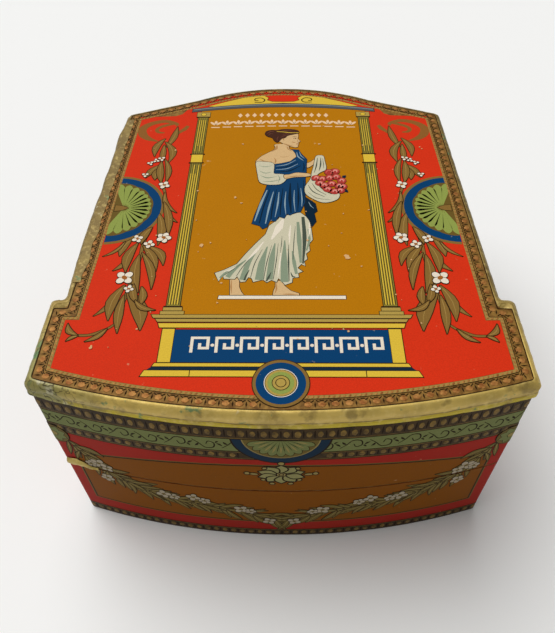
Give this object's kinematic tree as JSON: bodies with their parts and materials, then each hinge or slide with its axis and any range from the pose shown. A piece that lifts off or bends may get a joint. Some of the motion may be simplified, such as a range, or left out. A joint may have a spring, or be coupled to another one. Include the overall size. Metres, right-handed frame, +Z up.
{
  "type": "face powder box",
  "caption": "Paper-covered strawboard powder box with bowed front, stepped sides, arched back, lift-off lid over a raised neck, powder fill and paper membrane.",
  "frame": {"origin": "centre of the underside, on the surface the box stands on", "axes": "+Z up, +X to the right of the bowed front, -Y towards the front, lid lifts along +Z"},
  "size_m": [0.08, 0.094, 0.045],
  "materials": {
    "strawboard": "matte",
    "printed_label": "satin",
    "gilt_paper": "satin",
    "gummed_paper": "matte",
    "lining_paper": "matte",
    "underside_paper": "matte",
    "glassine": "satin",
    "face_powder": "matte"
  },
  "bodies": {
    "base": {"base_underside_paper": "underside_paper", "base_bottom_board": "strawboard", "base_wall_board": "strawboard", "base_wall_stay": "gummed_paper", "base_side_label": "printed_label", "neck_board": "strawboard", "neck_gilt_paper": "gilt_paper", "neck_lining_paper": "lining_paper", "base_floor_lining": "lining_paper", "powder_fill": "face_powder", "powder_seal": "glassine", "seal_pull_tab": "glassine"},
    "lid": {"lid_top_board": "strawboard", "lid_edge_gilt_paper": "gilt_paper", "lid_top_label": "printed_label", "lid_wall_board": "strawboard", "lid_wall_stay": "gummed_paper", "lid_side_label": "printed_label", "lid_wall_lining": "lining_paper", "lid_top_lining": "lining_paper"}
  },
  "joints": [
    {"name": "lid_lift", "type": "slide", "parent": "base", "child": "lid", "axis": [0, 0, 1], "range_m": [0, 0.04]}
  ]
}
